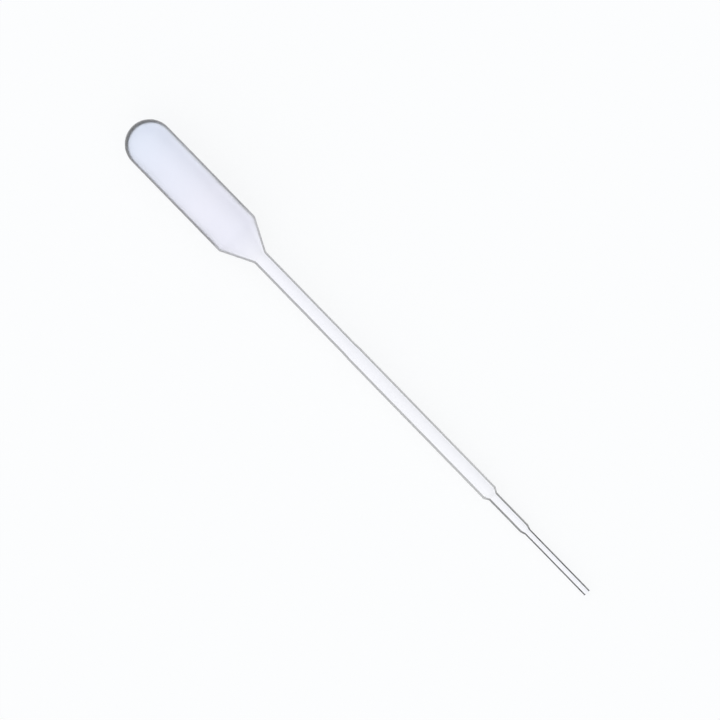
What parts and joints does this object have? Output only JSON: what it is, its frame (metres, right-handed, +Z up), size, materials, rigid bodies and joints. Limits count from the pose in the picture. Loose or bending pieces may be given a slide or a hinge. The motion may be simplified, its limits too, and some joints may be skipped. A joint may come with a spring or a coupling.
{
  "type": "dropper pipette",
  "caption": "One-piece translucent plastic dropper pipette: round-ended squeeze bulb, conical shoulder, long stem and stepped fine tip.",
  "frame": {"origin": "on the surface that the pipette lies on, under the middle of its bounding box", "axes": "+X from the bulb towards the tip, +Z up; the pipette's own axis lies in the XZ plane and dips by 2.4 degrees towards the tip, as it rests on the bulb's rim and the tip"},
  "size_m": [0.15, 0.0116, 0.0127],
  "materials": {
    "ldpe": "translucent natural low-density polyethylene, smooth satin, slightly milky and bluish"
  },
  "bodies": {
    "root": {"pipette": "ldpe"}
  },
  "joints": []
}
